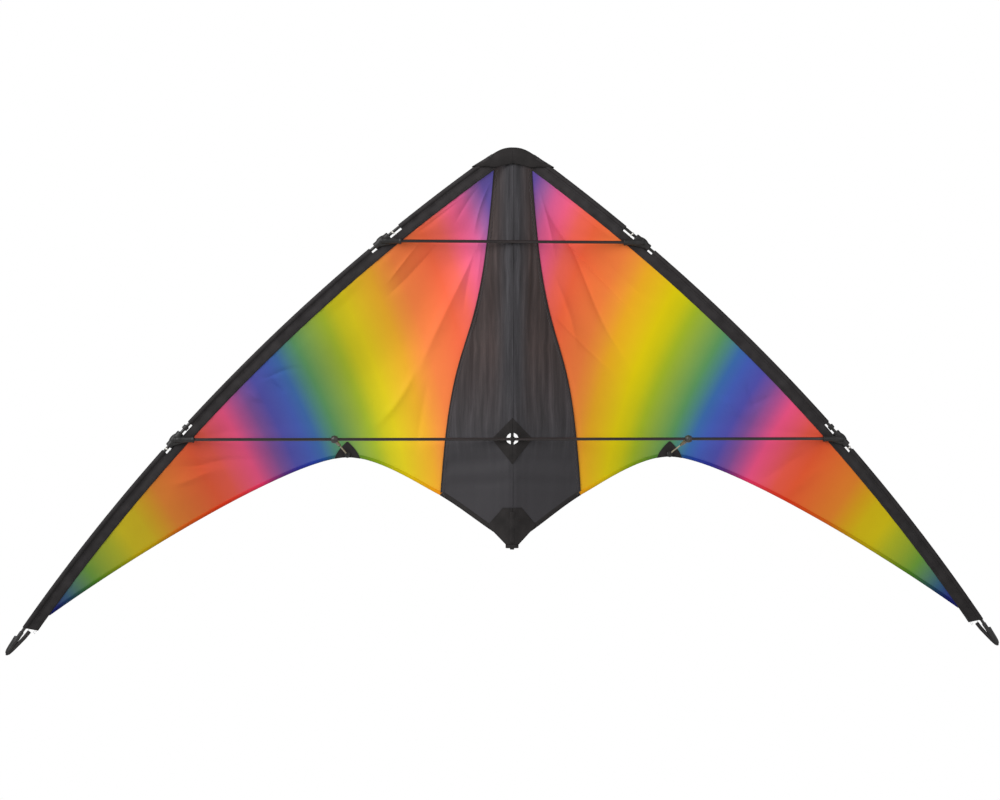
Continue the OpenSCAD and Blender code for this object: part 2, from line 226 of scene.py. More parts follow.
def creases(x, z, hand):
    """Sharp creases: from each line the cloth falls away as e^(-d / spread), with its own spread on either
    side."""
    total = np.zeros_like(x)
    for line, inner, outer, height in CREASES[hand]:
        at_z, at_x = np.array(line, float).T
        curve = np.polyfit(at_z, at_x, min(len(line) - 1, 3))
        off = (x - np.polyval(curve, z)) / np.hypot(1, np.polyval(np.polyder(curve), z))
        ends = window(z, at_z.min(), at_z.max(), 0.4 * np.ptp(at_z))
        off = np.sqrt(off * off + 0.25) / np.where(off < 0, inner, outer)
        total += height * ends * np.exp(-off)
    return total


def puckers(x, z, hand):
    """Small gathers where the cloth meets the seam band and the centre seam: waves that fade away from the
    edge."""
    r, share, limit = polar(x, z)
    from_edge = (1 - share) * limit * r
    phase = 0.0 if hand == "left" else 1.7
    along_edge = np.sin(r / 9.0 + phase) + 0.6 * np.sin(r / 5.3 + 2.1 + phase)
    near_knots = np.exp(-(((r - 190) / 60) ** 2)) + np.exp(-(((r - 560) / 90) ** 2)) + 0.25
    return 0.35 * along_edge * near_knots * np.exp(-from_edge / 14)


def sail_y(x, z, hand):
    """How far the cloth stands behind the plane of the leading edges."""
    edge_fade = window(polar(x, z)[1], -0.02, 1.0, 0.06)
    swells = 1.3 * np.sin(x / 23 + z / 41) * np.sin(z / 29 - x / 57 + SIDES[hand])
    return depth(x, z) + (creases(x, z, hand) + puckers(x, z, hand) + swells) * edge_fade


# ---------------------------------------------------------------- mesh building

def cloth(middle, uv, thick, keep=None):
    """A closed thin sheet: the grid's surface moved half its thickness both ways along its normal, with a
    rim round every edge. keep says which cells of the grid are cloth, so that a sheet can have cut-outs."""
    across, down = np.gradient(middle, axis=1), np.gradient(middle, axis=0)
    normal = np.cross(across, down)
    length = np.linalg.norm(normal, axis=-1, keepdims=True)
    normal = np.where(length > 1e-9, normal / np.maximum(length, 1e-9), [0, 1, 0])
    rows, columns = middle.shape[:2]
    count = rows * columns
    points = np.concatenate([(middle + s * normal * thick / 2).reshape(-1, 3) for s in (-1, 1)])
    at = np.arange(count).reshape(rows, columns)
    front = np.stack([at[:-1, :-1], at[:-1, 1:], at[1:, 1:], at[1:, :-1]], -1)
    front = front.reshape(-1, 4) if keep is None else front[keep]
    a, b = front.ravel(), np.roll(front, -1, 1).ravel()
    open_edge = ~np.isin(a * count + b, b * count + a)
    a, b = a[open_edge], b[open_edge]
    quads = np.concatenate([front, front[:, ::-1] + count, np.stack([b, a, a + count, b + count], -1)])
    used, renamed = np.unique(quads, return_inverse=True)
    flat = np.concatenate([uv.reshape(-1, 2)] * 2)
    return points[used], renamed.reshape(quads.shape), np.zeros((0, 3), int), flat[used]


def loft(rings, uv=None, looped=False):
    """A closed skin through rings, an (n, m, 3) array of n loops. The ends are fans unless the path is a
    loop."""
    n, m = rings.shape[:2]
    at = np.arange(n * m).reshape(n, m)
    first, second = (at, np.roll(at, -1, 0)) if looped else (at[:-1], at[1:])
    quads = np.stack([first, np.roll(first, -1, 1), np.roll(second, -1, 1), second], -1).reshape(-1, 4)
    points = rings.reshape(-1, 3)
    uv = np.zeros((n, m, 2)) if uv is None else uv
    flat = uv.reshape(-1, 2)
    tris = np.zeros((0, 3), int)
    if not looped:
        hubs = rings[[0, -1]].mean(1)
        points = np.concatenate([points, hubs])
        flat = np.concatenate([flat, uv[0].mean(0)[None], uv[-1].mean(0)[None]])
        start = np.stack([np.roll(at[0], -1), at[0], np.full(m, n * m)], -1)
        stop = np.stack([at[-1], np.roll(at[-1], -1), np.full(m, n * m + 1)], -1)
        tris = np.concatenate([start, stop])
    return points, quads, tris, flat


def unit(v):
    return v / np.linalg.norm(v, axis=-1, keepdims=True)


def tube(path, radius, sides=12, looped=False, flat=1.0):
    """Rings of that radius across a path, an (n, 3) array. flat squeezes them along the second cross
    direction."""
    path = np.asarray(path, float)
    if looped:
        run = unit(np.roll(path, -1, 0) - np.roll(path, 1, 0))
    else:
        run = unit(np.gradient(path, axis=0))
    spread = np.ptp(run, axis=0)
    reference = np.eye(3)[int(np.argmin(np.abs(run).mean(0) + spread))]
    side = unit(np.cross(run, reference))
    up = np.cross(run, side)
    turn = np.linspace(0, 2 * math.pi, sides, endpoint=False)
    radius = np.broadcast_to(np.asarray(radius, float), len(path))[:, None, None]
    ring = np.cos(turn)[None, :, None] * side[:, None] + flat * np.sin(turn)[None, :, None] * up[:, None]
    steps = np.linalg.norm(np.diff(path, axis=0, prepend=path[:1]), axis=-1).cumsum()
    around = turn / (2 * math.pi)
    uv = np.stack(np.broadcast_arrays(steps[:, None] * MM, around[None, :]), -1)
    return loft(path[:, None] + radius * ring, uv, looped)


def turned(profile, start, direction, sides=40, flat=1.0):
    """A turned solid: profile rows are (distance along direction from start, radius)."""
    profile = np.asarray(profile, float)
    direction = unit(np.asarray(direction, float))
    path = np.asarray(start, float) + profile[:, :1] * direction
    reference = np.eye(3)[int(np.argmin(np.abs(direction)))]
    side = unit(np.cross(direction, reference))
    up = np.cross(direction, side)
    turn = np.linspace(0, 2 * math.pi, sides, endpoint=False)
    ring = np.cos(turn)[:, None] * side + flat * np.sin(turn)[:, None] * up
    rings = path[:, None] + profile[:, 1, None, None] * ring[None]
    around = turn / (2 * math.pi)
    uv = np.stack(np.broadcast_arrays(profile[:, :1] * MM, around[None, :]), -1)
    return loft(rings, uv)


def rounded_rod(length, radius, lip=0.6, steps=5):
    """Profile of a straight rod of that length whose ends are rounded over lip."""
    turn = np.linspace(0, math.pi / 2, steps)
    start = np.column_stack([lip - lip * np.cos(turn), radius - lip + lip * np.sin(turn)])
    return np.concatenate([start, np.column_stack([length - start[::-1, 0], start[::-1, 1]])])


def ball(centre, radius, direction=(0, 0, 1), stretch=1.0):
    """A sphere, or with stretch an egg along direction."""
    turn = np.linspace(0.04, math.pi - 0.04, 19)
    profile = np.column_stack([-np.cos(turn) * radius * stretch, np.sin(turn) * radius])
    return turned(profile, centre, direction)


def stitches(line, normal, pitch, length, thread):
    """Thread stitches laid along a line, an (n, 3) array: small closed capsules of six sides."""
    steps = np.linalg.norm(np.diff(line, axis=0), axis=1)
    place = np.concatenate([[0], steps.cumsum()])
    middle = np.arange(pitch / 2, place[-1], pitch)
    ends = [
        np.stack([np.interp(middle + way * length / 2, place, line[:, k]) for k in range(3)], -1)
        for way in (-1, 1)
    ]
    centre, run = (ends[0] + ends[1]) / 2, unit(ends[1] - ends[0])
    out = np.stack([np.interp(middle, place, normal[:, k]) for k in range(3)], -1)
    out = unit(out - (out * run).sum(1, keepdims=True) * run)
    side = np.cross(run, out)
    stations = np.array([-0.5, -0.3, 0.3, 0.5]) * length
    swell = np.array([0.35, 1.0, 1.0, 0.35]) * thread
    turn = np.linspace(0, 2 * math.pi, 6, endpoint=False)
    ring = np.cos(turn)[:, None, None] * side[None] + np.sin(turn)[:, None, None] * out[None]
    rings = centre[None, None] + stations[:, None, None, None] * run + swell[:, None, None, None] * ring
    rings = rings.transpose(2, 0, 1, 3)
    count = len(middle)
    at = np.arange(24).reshape(4, 6)
    quads = np.stack([at[:-1], np.roll(at[:-1], -1, 1), np.roll(at[1:], -1, 1), at[1:]], -1).reshape(-1, 4)
    caps = np.array([[0, 5, 4, 3], [0, 3, 2, 1], [18, 19, 20, 21], [18, 21, 22, 23]])
    one = np.concatenate([quads, caps])
    points = rings.reshape(-1, 3)
    faces = (one[None] + 24 * np.arange(count)[:, None, None]).reshape(-1, 4)
    return points, faces, np.zeros((0, 3), int), np.zeros((len(points), 2))


def joined(parts):
    """Several (points, quads, triangles, uv) parts as one."""
    starts = np.cumsum([0] + [len(p[0]) for p in parts])
    return (
        np.concatenate([p[0] for p in parts]),
        np.concatenate([p[1] + s for p, s in zip(parts, starts)]),
        np.concatenate([p[2] + s for p, s in zip(parts, starts)]),
        np.concatenate([p[3] for p in parts]),
    )


def spectrum(points, side):
    """Where a point lies across the printed rainbow, in millimetres at the lower spreader's height. The
    bands lean outwards, more so further out and higher up, and the print lies a little further in on the
    right wing."""
    lean, steeper, spread, shift = 0.094, 0.0008, 0.0012, 5.0
    x, z = np.abs(points[:, 0]), points[:, 2]
    rise = steeper / spread
    far = (lean + rise) / spread
    return (x + far + rise * z) * np.exp(-spread * z) - far + shift * side


def piece(name, parts, finish, side=1, printed=False):
    """A mesh object from parts in millimetres, mirrored for side -1, with its UV map "cloth" and smooth
    shading."""
    points, quads, tris, uv = joined(parts)
    mesh = bpy.data.meshes.new(name)
    faces = quads.tolist() + tris.tolist()
    mesh.from_pydata((points * [side, 1, 1] * MM), [], faces)
    layer = mesh.uv_layers.new(name="cloth")
    corner = np.zeros(len(mesh.loops), np.int32)
    mesh.loops.foreach_get("vertex_index", corner)
    layer.data.foreach_set("uv", uv[corner].ravel().astype(np.float32))
    if printed:
        bands = mesh.attributes.new("spectrum", "FLOAT", "POINT")
        bands.data.foreach_set("value", spectrum(points, side).astype(np.float32))
    work = bmesh.new()
    work.from_mesh(mesh)
    bmesh.ops.recalc_face_normals(work, faces=work.faces)
    work.to_mesh(mesh)
    work.free()
    mesh.polygons.foreach_set("use_smooth", np.ones(len(mesh.polygons), bool))
    mesh.materials.append(finish)
    made = bpy.data.objects.new(name, mesh)
    bpy.context.scene.collection.objects.link(made)
    return made


def fuse(made, voxel, rounds):
    """Melts overlapping closed shells into one moulded skin and softens its inner corners."""
    melt = made.modifiers.new("melt", "REMESH")
    melt.mode = "VOXEL"
    melt.voxel_size = voxel * MM
    melt.use_smooth_shade = True
    soften = made.modifiers.new("soften", "SMOOTH")
    soften.factor = 0.5
    soften.iterations = rounds
    bpy.context.view_layer.update()
    graph = bpy.context.evaluated_depsgraph_get()
    final = bpy.data.meshes.new_from_object(made.evaluated_get(graph))
    made.modifiers.clear()
    made.data = final
    return made


# ---------------------------------------------------------------- materials

def colour(code):
    """An sRGB hex colour as linear RGBA."""
    parts = [int(code[i:i + 2], 16) / 255 for i in (1, 3, 5)]
    linear = [p / 12.92 if p <= 0.04045 else ((p + 0.055) / 1.055) ** 2.4 for p in parts]
    return (*linear, 1.0)


def add(tree, kind, inputs=None, stops=(), **settings):
    """Adds a node. inputs maps a socket to a value, or to a (node, output) pair that is linked to it. stops
    are a colour ramp's places and hex colours, in order."""
    made = tree.nodes.new(kind)
    for number, (at, code) in enumerate(stops):
        elements = made.color_ramp.elements
        stop = elements[number] if number < 2 else elements.new(at)
        stop.position, stop.color = at, colour(code)
    for name, value in settings.items():
        setattr(made, name, value)
    for name, value in (inputs or {}).items():
        if isinstance(value, tuple) and isinstance(value[0], bpy.types.Node):
            tree.links.new(value[0].outputs[value[1]], made.inputs[name])
        else:
            made.inputs[name].default_value = value
    return made


def new_finish(name, roughness, **sockets):
    """A material with its Principled shader's uniform values set. Gives (material, tree, shader)."""
    made = bpy.data.materials.new(name)
    made.use_nodes = True
    tree = made.node_tree
    shader = tree.nodes["Principled BSDF"]
    shader.inputs["Roughness"].default_value = roughness
    for key, value in sockets.items():
        shader.inputs[key.replace("_", " ")].default_value = value
    return made, tree, shader


def plug(tree, shader, socket, source, output):
    tree.links.new(source.outputs[output], shader.inputs[socket])


def thread_scale(spacing):
    """The Wave Texture's scale for bands that far apart, in millimetres, on coordinates in metres."""
    return 2 * math.pi / (20 * spacing * MM)


def weave(tree, spacing, strength, lift, crumple=0.0):
    """Bump of a plain weave on the cloth's own UV: two crossed sets of threads, with soft handling marks
    over them."""
    own = add(tree, "ShaderNodeUVMap", uv_map="cloth")
    threads = {"Vector": (own, "UV"), "Scale": thread_scale(spacing), "Distortion": 0.4}
    sets = [
        add(tree, "ShaderNodeTexWave", threads, wave_type="BANDS", bands_direction=axis)
        for axis in ("X", "Y")
    ]
    crossed = add(tree, "ShaderNodeMath", {0: (sets[0], "Fac"), 1: (sets[1], "Fac")}, operation="MULTIPLY")
    bump = add(tree, "ShaderNodeBump", {"Height": (crossed, 0), "Strength": strength, "Distance": lift * MM})
    if crumple:
        handled = {"Vector": (own, "UV"), "Scale": 38, "Detail": 3, "Roughness": 0.45}
        marks = add(tree, "ShaderNodeTexNoise", handled)
        bump = add(tree, "ShaderNodeBump", {
            "Height": (marks, "Fac"), "Strength": 0.5, "Distance": crumple * MM, "Normal": (bump, "Normal")})
    return own, crossed, bump


def tinted(tree, base, factor_node, output, low, high):
    """base, multiplied by a grey that goes from low to high as the factor goes from 0 to 1."""
    grey = add(tree, "ShaderNodeMapRange", {"Value": (factor_node, output), "To Min": low, "To Max": high})
    both = {"Factor": 1.0, 6: base, 7: (grey, "Result")}
    return add(tree, "ShaderNodeMix", both, data_type="RGBA", blend_type="MULTIPLY")


# Rainbow print: distance across the bands in millimetres, and the ink there
INKS = [
    (-55, "#4e4a98"), (-38, "#604b96"), (-26, "#a05c99"), (-14, "#d65c90"), (0, "#ea5e82"),
    (18, "#eb6355"), (36, "#eb643e"), (75, "#ed7e3d"), (92, "#ec9335"), (108, "#e7a822"),
    (146, "#d9c509"), (163, "#c6c010"), (180, "#9fb324"), (226, "#58915a"), (240, "#4a827e"),
    (256, "#3a67a6"), (272, "#425bb0"), (298, "#4f4ea6"), (320, "#794d93"), (338, "#ac4e8a"),
    (358, "#e2507e"), (402, "#db5545"), (430, "#d85530"), (508, "#cf7828"), (534, "#c8921a"),
    (560, "#c2a812"), (595, "#bfae12"), (624, "#a2a621"), (685, "#628d34"), (745, "#315672"),
    (775, "#2a3379"),
]


def printed_ripstop(name, layers, sheen_haze):
    """Dye-printed polyester ripstop: calendered flat, so it has a soft broad gloss, crisp colour and a fine
    weave. layers is a gamma on the ink, which makes it darker and deeper where the cloth is folded: painted
    shade of the light that would come through it, filtered once a layer. sheen_haze is how much white is
    mixed into the ink, a painted sheen. Real threads lie 0.3 mm apart; they are drawn 1.5 mm apart."""
    made, tree, shader = new_finish(name, 0.5, Specular_IOR_Level=0.08, IOR=1.5)
    bands = add(tree, "ShaderNodeAttribute", attribute_name="spectrum")
    first, last = INKS[0][0], INKS[-1][0]
    place = add(tree, "ShaderNodeMapRange", {"Value": (bands, "Fac"), "From Min": first, "From Max": last})
    stops = [((at - first) / (last - first), ink) for at, ink in INKS]
    ramp = add(tree, "ShaderNodeValToRGB", {"Fac": (place, "Result")}, stops)
    own, crossed, bump = weave(tree, 1.5, 0.25, 0.12, crumple=0.9)
    cloud = add(tree, "ShaderNodeTexNoise", {"Vector": (own, "UV"), "Scale": 14, "Detail": 2})
    # Painted shade: the gamma of layers makes the ink darker and deeper where the cloth lies doubled, for the
    # light that would come through it.
    deep = add(tree, "ShaderNodeGamma", {"Color": (ramp, "Color"), "Gamma": layers})
    # Painted sheen: a share of white mixed into the ink, set above zero only for the left wing.
    sheen_mix = {"Factor": sheen_haze, 6: (deep, "Color"), 7: (1, 1, 1, 1)}
    sheened = add(tree, "ShaderNodeMix", sheen_mix, data_type="RGBA")
    ink = tinted(tree, (sheened, 2), cloud, "Fac", 0.95, 1.05)
    thread = tinted(tree, (ink, 2), crossed, 0, 0.97, 1.02)
    plug(tree, shader, "Base Color", thread, 2)
    plug(tree, shader, "Normal", bump, "Normal")
    return made


def dark_taffeta():
    """Solution-dyed polyester taffeta, charcoal and cool, with a painted brown reflection beside the middle
    and higher up. Slack-woven, so it shows long pale warp streaks, which end at the lower spreader's height,
    and a low gloss."""
    made, tree, shader = new_finish("charcoal_taffeta", 0.6, Specular_IOR_Level=0.2, IOR=1.5)
    own, crossed, bump = weave(tree, 1.5, 0.3, 0.14, crumple=0.8)
    drift = add(tree, "ShaderNodeTexNoise", {"Vector": (own, "UV"), "Scale": 9, "Detail": 2})
    drifted = {"Factor": 0.018, 4: (own, "UV"), 5: (drift, "Color")}
    bent = add(tree, "ShaderNodeMix", drifted, data_type="VECTOR")
    long_way = add(tree, "ShaderNodeMapping", {"Vector": (bent, 1), "Scale": (140, 6.5, 1)})
    warp = {"Vector": (long_way, "Vector"), "Scale": 1, "Detail": 5, "Roughness": 0.65}
    streak = add(tree, "ShaderNodeTexNoise", warp)
    stops = [(0.34, "#a9a9a9"), (0.5, "#cccccc"), (0.7, "#ffffff")]
    ramp = add(tree, "ShaderNodeValToRGB", {"Fac": (streak, "Fac")}, stops)
    across = add(tree, "ShaderNodeSeparateXYZ", {"Vector": (own, "UV")})
    # Painted reflection: a brown tint mixed into the charcoal beside the centre line and towards the top.
    edge = add(tree, "ShaderNodeMapRange", {"Value": (across, "X"), "From Min": 0.008, "From Max": 0.024})
    top = add(tree, "ShaderNodeMapRange", {"Value": (across, "Y"), "From Min": 0.0, "From Max": 0.12})
    reflection_mask = add(tree, "ShaderNodeMath", {0: (edge, "Result"), 1: (top, "Result")}, operation="MULTIPLY")
    reflection_mix = {"Factor": (reflection_mask, 0), 6: colour("#4e4c50"), 7: colour("#524645")}
    dye_and_reflection = add(tree, "ShaderNodeMix", reflection_mix, data_type="RGBA")
    above = add(tree, "ShaderNodeMapRange", {"Value": (across, "Y"), "From Min": -0.04, "From Max": 0.03})
    by_height = {"Factor": (above, "Result"), 6: colour("#c6c6c6"), 7: (ramp, "Color")}
    plain = add(tree, "ShaderNodeMix", by_height, data_type="RGBA")
    tint_and_streaks = {"Factor": 1.0, 6: (dye_and_reflection, 2), 7: (plain, 2)}
    streaked = add(tree, "ShaderNodeMix", tint_and_streaks, data_type="RGBA", blend_type="MULTIPLY")
    thread = tinted(tree, (streaked, 2), crossed, 0, 0.9, 1.08)
    plug(tree, shader, "Base Color", thread, 2)
    plug(tree, shader, "Normal", bump, "Normal")
    return made


def heavy_cloth(name, low, high, spacing, roughness, far_end=1.0):
    """Heavier woven polyester for sleeves and patches: matte black with a visible coarse weave. far_end is
    how pale it is 0.9 m along its length, against its start."""
    made, tree, shader = new_finish(name, roughness, Specular_IOR_Level=0.2, IOR=1.5)
    own, crossed, bump = weave(tree, spacing, 0.3, 0.2, crumple=0.5)
    wear = add(tree, "ShaderNodeTexNoise", {"Vector": (own, "UV"), "Scale": 60, "Detail": 4})
    ramp = add(tree, "ShaderNodeValToRGB", {"Fac": (wear, "Fac")}, [(0.3, low), (0.8, high)])
    thread = tinted(tree, (ramp, "Color"), crossed, 0, 0.92, 1.06)
    if far_end != 1.0:
        length = add(tree, "ShaderNodeSeparateXYZ", {"Vector": (own, "UV")})
        thread = tinted(tree, (thread, 2), length, "X", 1.0, far_end)
    plug(tree, shader, "Base Color", thread, 2)
    plug(tree, shader, "Normal", bump, "Normal")
    return made


def moulded(name, low, high, roughness, grain):
    """Injection-moulded rubber or plastic: an even satin skin with a fine spark-eroded grain, given in
    millimetres."""
    made, tree, shader = new_finish(name, roughness, IOR=1.5)
    place = add(tree, "ShaderNodeTexCoord")
    cloud = add(tree, "ShaderNodeTexNoise", {"Vector": (place, "Object"), "Scale": 120, "Detail": 3})
    ramp = add(tree, "ShaderNodeValToRGB", {"Fac": (cloud, "Fac")}, [(0.35, low), (0.75, high)])
    spark = {"Vector": (place, "Object"), "Scale": 1 / (grain * MM), "Detail": 2}
    fine = add(tree, "ShaderNodeTexNoise", spark)
    bump = add(tree, "ShaderNodeBump", {"Height": (fine, "Fac"), "Strength": 0.25, "Distance": 0.05 * MM})
    rough = add(tree, "ShaderNodeMapRange", {
        "Value": (cloud, "Fac"), "To Min": roughness - 0.06, "To Max": roughness + 0.1})
    plug(tree, shader, "Base Color", ramp, "Color")
    plug(tree, shader, "Roughness", rough, "Result")
    plug(tree, shader, "Normal", bump, "Normal")
    return made


def pultruded(name, low, high, roughness, stretch):
    """Pultruded rod: fibres pulled straight through a die, so it has fine lengthwise streaks under a satin
    resin. stretch is how the pattern's X, Y and Z are squeezed, small along the rod."""
    made, tree, shader = new_finish(name, roughness, IOR=1.52)
    place = add(tree, "ShaderNodeTexCoord")
    drawn = add(tree, "ShaderNodeMapping", {"Vector": (place, "Object"), "Scale": stretch})
    fibre = add(tree, "ShaderNodeTexNoise", {"Vector": (drawn, "Vector"), "Scale": 1, "Detail": 3})
    ramp = add(tree, "ShaderNodeValToRGB", {"Fac": (fibre, "Fac")}, [(0.35, low), (0.7, high)])
    bump = add(tree, "ShaderNodeBump", {"Height": (fibre, "Fac"), "Strength": 0.2, "Distance": 0.04 * MM})
    plug(tree, shader, "Base Color", ramp, "Color")
    plug(tree, shader, "Normal", bump, "Normal")
    return made


def braid(name, low, high):
    """Braided polyester line: strands cross round it, drawn as two opposed spirals on its own UV."""
    made, tree, shader = new_finish(name, 0.7, Specular_IOR_Level=0.3, IOR=1.5)
    own = add(tree, "ShaderNodeUVMap", uv_map="cloth")
    spirals = []
    for turn in (1, -1):
        wound = add(tree, "ShaderNodeMapping", {"Vector": (own, "UV"), "Scale": (1000, 3.0 * turn, 1)})
        spirals.append(add(tree, "ShaderNodeTexWave", {"Vector": (wound, "Vector"), "Scale": 0.3},
                           wave_type="BANDS", bands_direction="DIAGONAL"))
    both = {0: (spirals[0], "Fac"), 1: (spirals[1], "Fac")}
    crossed = add(tree, "ShaderNodeMath", both, operation="MAXIMUM")
    ramp = add(tree, "ShaderNodeValToRGB", {"Fac": (crossed, 0)}, [(0, low), (1, high)])
    bump = add(tree, "ShaderNodeBump", {"Height": (crossed, 0), "Strength": 0.6, "Distance": 0.1 * MM})
    plug(tree, shader, "Base Color", ramp, "Color")
    plug(tree, shader, "Normal", bump, "Normal")
    return made


def clear_vinyl():
    """Clear vinyl tube, slightly smoky: smooth and glossy, and the rod inside shows through."""
    made, tree, shader = new_finish("smoky_vinyl", 0.18, IOR=1.45)
    shader.inputs["Transmission Weight"].default_value = 0.3
    place = add(tree, "ShaderNodeTexCoord")
    cloud = add(tree, "ShaderNodeTexNoise", {"Vector": (place, "Object"), "Scale": 200, "Detail": 2})
    ramp = add(tree, "ShaderNodeValToRGB", {"Fac": (cloud, "Fac")}, [(0, "#6f6150"), (1, "#93836c")])
    plug(tree, shader, "Base Color", ramp, "Color")
    return made


FINISH = {
    # The left wing's last value, 0.01, is painted sheen: white mixed into its print.
    "left_sail": printed_ripstop("left_printed_ripstop", 1.0, 0.01),
    # The hems' 1.4 is painted shade: darker, deeper ink where the cloth lies doubled.
    "left_hem": printed_ripstop("left_printed_ripstop_folded", 1.4, 0.0),
    "right_sail": printed_ripstop("right_printed_ripstop", 1.0, 0.0),
    "right_hem": printed_ripstop("right_printed_ripstop_folded", 1.4, 0.0),
    "panel": dark_taffeta(),
    "sleeve": heavy_cloth("sleeve_polyester", "#2b2829", "#3d3a3b", 2.2, 0.68, 0.5),
    "patch": heavy_cloth("patch_webbing", "#211f1f", "#302d2d", 2.2, 0.75),
    "rod_x": pultruded("pultruded_carbon_spreader", "#1b1717", "#342c2c", 0.34, (20, 1500, 1500)),
    "rod_z": pultruded("pultruded_carbon_spine", "#161514", "#2a2725", 0.38, (1500, 1500, 20)),
    "rubber": moulded("moulded_rubber", "#171616", "#232121", 0.52, 0.5),
    "cap": moulded("dipped_vinyl_cap", "#151414", "#1f1e1e", 0.4, 0.8),
    "nock": moulded("moulded_nock_nylon", "#191818", "#262424", 0.42, 0.5),
    "clip": moulded("moulded_clip_nylon", "#302e2c", "#45423f", 0.45, 0.5),
    "vinyl": clear_vinyl(),
    "glass_rod": pultruded("pultruded_glass_rod", "#8f8674", "#b9ae98", 0.45, (300, 60, 300)),
    "white_line": braid("white_braided_line", "#b9b5ab", "#f2f0ea"),
    "black_line": braid("black_braided_line", "#100f0f", "#2c2a2a"),
    "thread": braid("dark_sewing_thread", "#1b1a1a", "#3a3837"),
    "pale_thread": braid("grey_sewing_thread", "#4c484a", "#7c787a"),
}


# ---------------------------------------------------------------- camera, light and floor

def sight():
    """The camera: in front, a little to the kite's left and above it, looking at it almost square."""
    distance, turn, lift, roll = 2.6, math.radians(4.5), math.radians(1.35), 0.0019
    aim = Vector((-0.0167, 0.0, 0.0519))
    back = Vector((-math.sin(turn) * math.cos(lift), -math.cos(turn) * math.cos(lift), math.sin(lift)))
    data = bpy.data.cameras.new("camera")
    data.sensor_width = 36
    data.lens = 70.4
    eye = bpy.data.objects.new("camera", data)
    eye.location = aim + back * distance
    eye.rotation_mode = "QUATERNION"
    eye.rotation_quaternion = (-back).to_track_quat("-Z", "Y") @ Quaternion((0, 0, 1), roll)
    bpy.context.scene.collection.objects.link(eye)
    bpy.context.scene.camera = eye


def lamp(name, place, size, power):
    """A square soft light that faces the kite's middle."""
    data = bpy.data.lights.new(name, "AREA")
    data.size, data.energy = size, power
    made = bpy.data.objects.new(name, data)
    made.location = place
    made.rotation_mode = "QUATERNION"
    made.rotation_quaternion = (Vector((0, 0, 0.05)) - Vector(place)).to_track_quat("-Z", "Y")
    bpy.context.scene.collection.objects.link(made)


def studio():
    """White surroundings, three soft lights and a plain pale floor well below the kite."""
    world = bpy.data.worlds.new("white_surround")
    world.use_nodes = True
    tree = world.node_tree
    tree.nodes["Background"].inputs["Color"].default_value = (1, 1, 1, 1)
    seen = add(tree, "ShaderNodeLightPath")
    level = add(tree, "ShaderNodeMapRange", {"Value": (seen, "Is Camera Ray"), "To Min": 0.25, "To Max": 1.0})
    tree.links.new(level.outputs["Result"], tree.nodes["Background"].inputs["Strength"])
    bpy.context.scene.world = world
    bpy.context.scene.view_settings.view_transform = "Standard"
    lamp("key", (-2.2, -1.8, 1.7), 2.2, 108)
    lamp("fill", (1.9, -2.2, 0.5), 1.8, 22)
    lamp("rim", (0.3, 2.2, 1.6), 1.6, 30)
    half, drop = 1.5, -0.9
    mesh = bpy.data.meshes.new("floor")
    mesh.from_pydata([(-half, -half, drop), (half, -half, drop), (half, half, drop), (-half, half, drop)],
                     [], [(0, 1, 2, 3)])
    pale, _, _ = new_finish("pale_floor", 0.8, Base_Color=colour("#e9e8e6"))
    mesh.materials.append(pale)
    floor = bpy.data.objects.new("floor", mesh)
    bpy.context.scene.collection.objects.link(floor)


sight()
studio()


# ---------------------------------------------------------------- cloth pieces

CLOTH_T = 0.35
SAIL_HEM_W = 4.4
PANEL_HEM_W = 6.0
# Width of the dark strip along the centre panel's curved edge, which is painted shade of the fold there.
EDGE_SHADE_W = 1.5


def flat_uv(x, z):
    """The cloth's own coordinates, in metres, across and along the kite."""
    return np.stack([x, z], -1) * MM


def hem_at(u):
    """The trailing edge from the centre panel to the tip, u from 0 to 1."""
    inner = bezier(INNER_HEM, np.clip(u / HEM_SPLIT, 0, 1))
    outer = bezier(OUTER_HEM, np.clip((u - HEM_SPLIT) / (1 - HEM_SPLIT), 0, 1))
    return np.where((u < HEM_SPLIT)[..., None], inner, outer)


def sail_plan(u, v):
    """(x, z) of the printed sail: rails down the centre panel's edge and the seam band, closed by the
    trailing edge. It runs 4 mm under the centre panel and 6 mm into the seam band."""
    under, tucked = 4.0, 6.0
    inner = bezier(PANEL_SIDE, v)
    angle = edge_angle(SAIL_TOP[1], PANEL_R) * (1 - v) + edge_angle(SAIL_TIP[1], PANEL_R) * v
    outer = edge_point(angle, PANEL_R + 0 * v)
    u3, v3 = u[..., None], v[..., None]
    place = (1 - u3) * inner + u3 * outer + v3 * (hem_at(u) - (1 - u3) * PANEL_FOOT - u3 * SAIL_TIP)
    along = np.stack([np.cos(angle), np.sin(angle)], -1)
    place = place + along * (tucked * window(u, 0.97, 2.0, 0.03))[..., None]
    place[..., 0] -= under * window(u, -1.0, 0.03, 0.03)
    return place


def spaced(count, start=0.0, stop=1.0):
    return np.linspace(start, stop, count)


def sail(hand):
    """The printed sail of one wing, hemmed separately."""
    side = SIDES[hand]
    u, v = np.meshgrid(spaced(205), spaced(225, 0.002), indexing="xy")
    plan = sail_plan(u, v)
    x, z = plan[..., 0], plan[..., 1]
    tuck = 0.9 * window(u, -1.0, 0.03, 0.03)
    middle = np.stack([x, sail_y(x, z, hand) + 0.2 + tuck, z], -1)
    part = cloth(middle, flat_uv(x, z), CLOTH_T)
    made = piece(
        f"{hand}_printed_sail", [part], FINISH[f"{hand}_sail"], side, printed=True)
    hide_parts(f"{hand}_sail")
    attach(made, f"{hand}_wing")
    hem_made = hem(
        f"{hand}_sail_hem", hem_at, SAIL_HEM_W, hand, FINISH[f"{hand}_hem"], printed=True)
    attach(hem_made, f"{hand}_wing")


